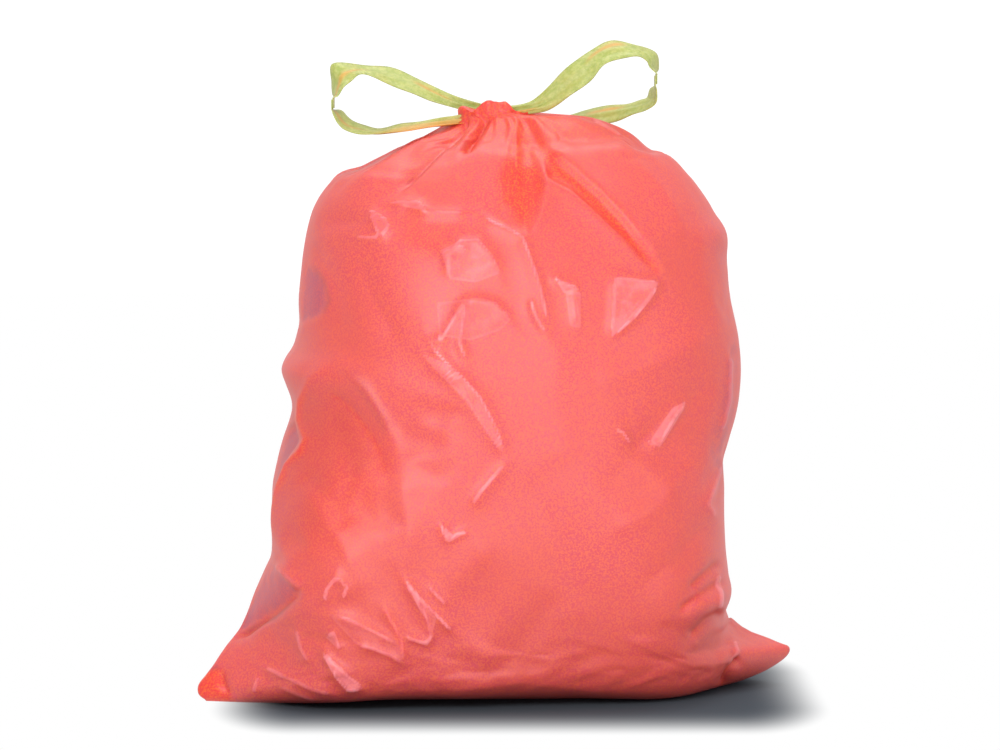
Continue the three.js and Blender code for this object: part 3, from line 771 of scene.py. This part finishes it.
bunch = tape["bunched"] / tape["width"]
frontStations = [
    *weld("leftLoop", -1, 1),
    past("leftLoop", 0.975, -0.1, 0.1, (6.5, 27, 3)),
    past("leftLoop", 0.94, -0.25, -0.075, (8, 25, 6)),
    past("leftLoop", 0.9, -0.45, -0.2, (7, 25, 8)),
    past("leftLoop", 0.825, -0.62, -0.3, (3, 26.5, 8)),
    past("leftLoop", 0.715, -0.8, -0.345, (0, 27, 5.5)),
    past("leftLoop", 0.58, -1, -0.267, (1, 27, 7)),
    past("leftLoop", 0.4, -0.94, -0.17, (0, 19, 7), 0.7),
    past("hem", -1, -0.8, -0.25, (0, 8, 8), bunch),
    past("hem", 0, -1, 0.2, (0, 3, 11), bunch),
    past("hem", 0.85, -0.8, 0.55, (-5, 6, 11), bunch),
    past("rightLoop", 0.3, -0.43, 0.214, (-8.6, 8, 13.4), 0.65),
    past("rightLoop", 0.43, -0.5, 0.476, (-15.2, 16, 17.2)),
    past("rightLoop", 0.535, -0.5, 0.676, (-17, 13, 18.2)),
    past("rightLoop", 0.63, -0.43, 0.883, (-11.4, 19, 15)),
    past("rightLoop", 0.745, -0.33, 1, (-7.6, 20, 17.7)),
    past("rightLoop", 0.87, -0.2, 0.99, (-2.9, 25, 12.9)),
    past("rightLoop", 0.972, -0.07, 0.888, (9, 24, 8)),
    past("rightLoop", 0.992, -0.03, 0.724, (9, 26.5, 0)),
    *weld("rightLoop", 1, -1)[::-1],
]
backStations = [
    *weld("leftLoop", 1, -1),
    past("leftLoop", 0.987, 0.06, 0.467, (-6, 27, 2)),
    past("leftLoop", 0.972, 0.19, 0.687, (-12, 24, 5)),
    past("leftLoop", 0.947, 0.37, 0.947, (-18, 12, 17)),
    past("leftLoop", 0.825, 0.7, 0.995, (0, 26.5, 9)),
    past("leftLoop", 0.677, 0.94, 0.892, (5, 23, 14.5)),
    past("leftLoop", 0.523, 1, 0.687, (7, 22, 14)),
    past("leftLoop", 0.383, 1, 0.467, (6, 17, 13), 0.75),
    past("leftLoop", 0.26, 0.94, 0.315, (4.8, 8, 12), 0.5),
    past("hem", -0.4, 1, 0.5, (2, 5, 10), bunch),
    past("hem", 0.3, 1, 0.2, (0, 6, 9), bunch),
    past("hem", 1.1, 1.4, 0, (-2, 10, 6), bunch),
    past("rightLoop", 0.42, 1.25, -0.07, (-3, 20, 9), 0.75),
    past("rightLoop", 0.575, 1.13, -0.006, (-3, 22, 16)),
    past("rightLoop", 0.725, 0.93, 0.054, (-2.9, 22.6, 16.3)),
    past("rightLoop", 0.843, 0.57, 0.117, (-3.8, 25.5, 11.5)),
    past("rightLoop", 0.925, 0.33, 0.176, (-4, 25.5, 10)),
    past("rightLoop", 0.975, 0.17, 0.246, (-7, 26, 5)),
    past("rightLoop", 0.987, 0.07, 0.395, (-5, 27, 2)),
    *weld("rightLoop", -1, 1)[::-1],
]


def ribbon(name, stations, replaced):
    places = np.array([place for place, width in stations])
    widths = np.array([width for place, width in stations])
    knots = np.concatenate([[0], np.cumsum(np.linalg.norm(np.diff(places, axis=0), axis=1) ** 0.5)])
    steps = np.interp(np.linspace(0, len(places) - 1, (len(places) - 1) * tape["perStation"] + 1),
                      np.arange(len(places)), knots)
    middles = np.stack([curveThrough(list(zip(knots, places[:, i])))(steps) for i in range(3)], axis=1)
    spans = np.stack([curveThrough(list(zip(knots, widths[:, i])))(steps) for i in range(3)], axis=1)
    ahead = np.gradient(middles, axis=0)
    ahead /= np.linalg.norm(ahead, axis=1)[:, None]
    out = np.cross(ahead, spans)
    out /= np.linalg.norm(out, axis=1)[:, None]
    size = np.linalg.norm(spans, axis=1)
    half = spans / 2
    run = np.concatenate([[0], np.cumsum(np.linalg.norm(np.diff(middles, axis=0), axis=1))])
    ends = smoothstep(run, 14, 60) * (1 - smoothstep(run, run[-1] - 60, run[-1] - 14))
    slack = smoothstep(size, tape["bunched"], tape["width"]) * ends
    count = tape["crosswise"]
    across = np.linspace(-1, 1, count)
    draw = random.Random(len(stations))
    phase = [draw.uniform(0, 6.28) for i in range(6)]
    rows = []
    for i in range(len(steps)):
        # a lengthwise crease a third of the way across, a slight curl, and ripples along the edges
        ridge = 1.3 * np.exp(-((across - 0.3 * math.sin(run[i] / 60 + phase[0])) / 0.22) ** 2)
        second = -0.9 * np.exp(-((across + 0.45 + 0.2 * math.sin(run[i] / 45 + phase[1])) / 0.16) ** 2)
        curl = 1.6 * across ** 2 * math.sin(run[i] / 70 + phase[2])
        ripple = 0.5 * np.sin(run[i] / 7 + phase[3] + 2 * across) * np.abs(across) ** 2
        gathers = 1.8 * np.cos(across * 7 + phase[4] + run[i] / 25) * (1 - slack[i]) * ends[i]
        lift = (ridge + second + curl + ripple) * slack[i] + gathers
        rows.append(middles[i] + half[i] * (across * (1 - 0.06 * slack[i]))[:, None] + out[i] * lift[:, None])
    rows = np.array(rows)
    thick = out[:, None, :] * tape["thickness"] / 2
    shell = np.concatenate([rows + thick, (rows - thick)[:, ::-1]], axis=1)
    loop = 2 * count
    faces = [(i * loop + j, i * loop + (j + 1) % loop, (i + 1) * loop + (j + 1) % loop, (i + 1) * loop + j)
             for i in range(len(shell) - 1) for j in range(loop)]
    faces += [tuple(range(loop))[::-1], tuple(range((len(shell) - 1) * loop, len(shell) * loop))]
    points = shell.reshape(-1, 3) + np.array([*hemAxisMm, 0])
    piece = meshObject(name, points * mm, faces)
    piece.data.flip_normals()
    x, y, z = verticesOf(piece.data).T / mm
    edge = np.tile(np.concatenate([across, across[::-1]]), len(shell))
    # an orange tint on the lower left arm, in front, where the tape lies against the red film, and orange
    # streaks along the tape
    orangeTint = smoothstep(x, -135, -70) * (x < 0) * (z < film["height"] + 6)  # the lower left arm, in front
    streak = np.exp(-((edge - 0.45 * np.sin(x / 31 + phase[5])) / 0.2) ** 2)
    streak *= smoothstep(np.sin(x / 13), -0.2, 0.8)
    paint(piece, "warm", np.maximum(orangeTint * (0.5 - 0.5 * edge) * 1.2, 0.75 * streak))
    for polygon in piece.data.polygons:
        polygon.use_smooth = len(polygon.vertices) == 4
    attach(piece, "root")
    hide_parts(replaced)
    return piece


frontTape = ribbon("frontDrawtape", frontStations, "front_tape")
backTape = ribbon("backDrawtape", backStations, "back_tape")
print("tapes done")


class Wire:  # one output of a material's node tree, or the bare tree; arithmetic on it makes Math nodes
    def __init__(self, tree, socket=None):
        self.tree = tree
        self.socket = socket

    def node(self, kind, settings=None, inputs=None, output=0):
        made = self.tree.nodes.new(kind)
        for name, value in (settings or {}).items():
            setattr(made, name, value)
        for name, value in (inputs or {}).items():
            if isinstance(value, Wire):
                self.tree.links.new(value.socket, made.inputs[name])
            else:
                made.inputs[name].default_value = value
        return Wire(self.tree, made.outputs[output] if len(made.outputs) else None)

    def math(self, operation, *values):
        return self.node("ShaderNodeMath", {"operation": operation}, dict(enumerate(values)))

    def __add__(self, other):
        return self.math("ADD", self, other)

    def __sub__(self, other):
        return self.math("SUBTRACT", self, other)

    def __rsub__(self, other):
        return self.math("SUBTRACT", other, self)

    def __mul__(self, other):
        return self.math("MULTIPLY", self, other)

    __radd__ = __add__
    __rmul__ = __mul__

    def between(self, low, high):  # 0 at low, 1 at high, smooth and clamped
        return self.node("ShaderNodeMapRange", {"interpolation_type": "SMOOTHSTEP"},
                         {"Value": self, "From Min": low, "From Max": high})

    def blend(self, first, second):  # colours mixed by this wire
        return self.node("ShaderNodeMix", {"data_type": "RGBA"}, {0: self, 6: first, 7: second}, 2)

    def noise(self, scale, detail=3.0, kind="FBM", roughness=0.55):  # on the place that this wire carries
        return self.node("ShaderNodeTexNoise", {"noise_type": kind},
                         {"Vector": self, "Scale": scale, "Detail": detail, "Roughness": roughness})

    def painted(self, name):
        return self.node("ShaderNodeAttribute", {"attribute_name": name}, output=2)


def newFinish(name):  # an empty material, and the object's own coordinates in it
    finish = bpy.data.materials.new(name)
    finish.use_nodes = True
    finish.node_tree.nodes.clear()
    return finish, Wire(finish.node_tree).node("ShaderNodeTexCoord", output=3)


def makeFilmFinish():
    finish, place = newFinish("filmFinish")
    grain = place.noise(560, 2, roughness=0.6)
    spots = place.noise(150)
    cloud = place.noise(11, 2)
    line, lineShine, facet, facetShine, deep, clear, paintedShade = [
        place.painted(name) for name in ("line", "lineShine", "facet", "facetShine", "deep", "clear", "paintedShade")]
    broken = place.noise(75, 3).between(0.36, 0.6)
    # painted highlights: thin pale glints along the creases, and pale rims and plates on the facets, where
    # the light catches the film
    glint = line.between(0.76, 0.98) * lineShine * (0.45 + 0.55 * broken)
    rim = facet.between(0.4, 0.52) * facet.between(0.85, 0.58) * facetShine * 0.8
    plate = facet.between(0.42, 0.6) * facetShine * (0.35 + 0.65 * broken)
    colour = grain.between(0.36, 0.66).blend((0.56, 0.05, 0.075, 1), (0.66, 0.105, 0.055, 1))
    colour = (spots.between(0.5, 0.7) * 0.25).blend(colour, (0.55, 0.06, 0.11, 1))
    colour = (cloud.between(0.35, 0.7) * 0.35).blend(colour, (0.58, 0.075, 0.05, 1))
    # purple where the film has nothing behind it, and painted shade on the sides and back
    purple = grain.between(0.4, 0.6).blend((0.38, 0.05, 0.095, 1), (0.48, 0.07, 0.085, 1))
    colour = ((clear + 0.35 * broken - 0.2).between(0.25, 0.85) * clear).blend(colour, purple)
    redder = grain.between(0.42, 0.64).blend((0.64, 0.022, 0.022, 1), (0.7, 0.095, 0.012, 1))
    # painted shade in folds and over the left flank and belly
    colour = (paintedShade * 0.8).blend(colour, (0.26, 0.03, 0.045, 1))
    # deeper red where the film lies double or is gathered at the hem, and painted shade in grooves and on the
    # left hip
    colour = (deep * 0.9).blend(colour, redder)
    # all painted highlights together, blended in as a pale pink, with a lower roughness there
    paintedHighlight = place.math("MAXIMUM", place.math("MAXIMUM", glint, rim), plate * 0.8)
    colour = (paintedHighlight * 0.75).blend(colour, (0.84, 0.27, 0.31, 1))
    crinkle = place.noise(38, 3, "RIDGED_MULTIFRACTAL")
    bump = place.node("ShaderNodeBump", inputs={
        "Strength": 0.3, "Distance": 0.0011, "Height": crinkle * 0.5 + grain * 0.15 + spots * 0.35})
    shader = place.node("ShaderNodeBsdfPrincipled", inputs={
        "Base Color": colour, "Roughness": 0.42 + grain.between(0.3, 0.7) * 0.1 - paintedHighlight * 0.14,
        "Normal": bump, "Subsurface Weight": 0.25, "Subsurface Radius": (1.0, 0.25, 0.2),
        "Subsurface Scale": 0.006, "Specular IOR Level": 0.5})
    place.node("ShaderNodeOutputMaterial", inputs={"Surface": shader})
    return finish


def makeTapeFinish():
    finish, place = newFinish("drawtapeFinish")
    grain = place.noise(230, 4, roughness=0.65)
    streaks = place.noise(42, 3)
    warm = place.painted("warm")
    colour = grain.between(0.35, 0.65).blend((0.29, 0.34, 0.075, 1), (0.4, 0.42, 0.13, 1))
    colour = (streaks.between(0.45, 0.7) * 0.35).blend(colour, (0.4, 0.33, 0.07, 1))
    colour = (warm * (0.55 + 0.5 * grain)).blend(colour, (0.6, 0.2, 0.02, 1))
    bump = place.node("ShaderNodeBump", inputs={
        "Strength": 0.3, "Distance": 0.0008, "Height": streaks * 0.6 + grain * 0.3})
    shader = place.node("ShaderNodeBsdfPrincipled", inputs={
        "Base Color": colour, "Roughness": 0.45 + grain * 0.12, "Normal": bump,
        "Subsurface Weight": 0.15, "Subsurface Radius": (0.8, 0.8, 0.2), "Subsurface Scale": 0.003})
    place.node("ShaderNodeOutputMaterial", inputs={"Surface": shader})
    return finish


bag.data.materials.clear()
bag.data.materials.append(makeFilmFinish())
drawtapeFinish = makeTapeFinish()
for piece in (frontTape, backTape):
    piece.data.materials.append(drawtapeFinish)


# painted shade: the floor's grey under and in front of the bag darkens the bag's shadow; the floor glows
# white all round it
ground = dict(middleX=0.02, reachX=0.2, reachY=0.1, fadeX=0.09, fadeY=0.17, paintedShadeGrey=(0.07, 0.085, 0.1, 1))


def makeFloor():  # grey under the bag, where its shadow falls, and white all round it
    floor = meshObject("floor", [(-6, -6, 0), (6, -6, 0), (6, 8, 0), (-6, 8, 0)], [(0, 1, 2, 3)])
    finish, place = newFinish("paleFloor")
    x, y = [place.node("ShaderNodeSeparateXYZ", inputs={0: place}, output=i) for i in range(2)]
    pastX = place.math("MAXIMUM", place.math("ABSOLUTE", x - ground["middleX"]) - ground["reachX"], 0.0)
    pastY = place.math("MAXIMUM", place.math("ABSOLUTE", y) - ground["reachY"], 0.0)
    pastX, pastY = pastX * (1 / ground["fadeX"]), pastY * (1 / ground["fadeY"])
    white = (pastX * pastX + pastY * pastY).between(0.0, 1.0)
    shader = place.node("ShaderNodeBsdfPrincipled", inputs={
        "Base Color": white.blend(ground["paintedShadeGrey"], (0, 0, 0, 1)), "Roughness": 0.9, "Specular IOR Level": 0,
        "Emission Color": white.blend((0, 0, 0, 1), (1, 1, 1, 1)), "Emission Strength": 1.0})
    place.node("ShaderNodeOutputMaterial", inputs={"Surface": shader})
    floor.data.materials.append(finish)


def makeLight(name, position, width, watts, colour=(1, 1, 1)):  # aimed at the bag's middle
    data = bpy.data.lights.new(name, "AREA")
    data.shape = "RECTANGLE"
    data.size, data.size_y = width
    data.energy = watts
    data.color = colour
    light = bpy.data.objects.new(name, data)
    light.location = position
    light.rotation_euler = (Vector((0, 0, 0.3)) - Vector(position)).to_track_quat("-Z", "Y").to_euler()
    bpy.context.scene.collection.objects.link(light)


makeFloor()
makeLight("keyLight", (-0.6, -2.4, 1.3), (1.0, 0.9), 41)
makeLight("fillLight", (1.9, -1.9, 1.1), (1.0, 1.4), 14, (1, 0.97, 0.95))
makeLight("topLight", (0.1, 0.3, 2.5), (1.6, 1.2), 26)
makeLight("lowLight", (0.3, -2.3, 0.12), (1.8, 0.2), 11)


def makeStudio():  # white behind the bag and dimmer round the camera
    world = bpy.data.worlds.new("studio")
    bpy.context.scene.world = world
    world.use_nodes = True
    world.node_tree.nodes.clear()
    heading = Wire(world.node_tree).node("ShaderNodeTexCoord", output=0)
    behind = heading.node("ShaderNodeSeparateXYZ", inputs={0: heading}, output=1).between(-0.1, 0.5)
    glows = [heading.node("ShaderNodeBackground", inputs={"Color": (1, 1, 1, 1), "Strength": strength})
             for strength in (0.6, 1.1)]
    glow = heading.node("ShaderNodeMixShader", inputs={0: behind, 1: glows[0], 2: glows[1]})
    heading.node("ShaderNodeOutputWorld", inputs={"Surface": glow})


makeStudio()
bpy.context.scene.view_settings.view_transform = "Standard"
print("stage and lights done")
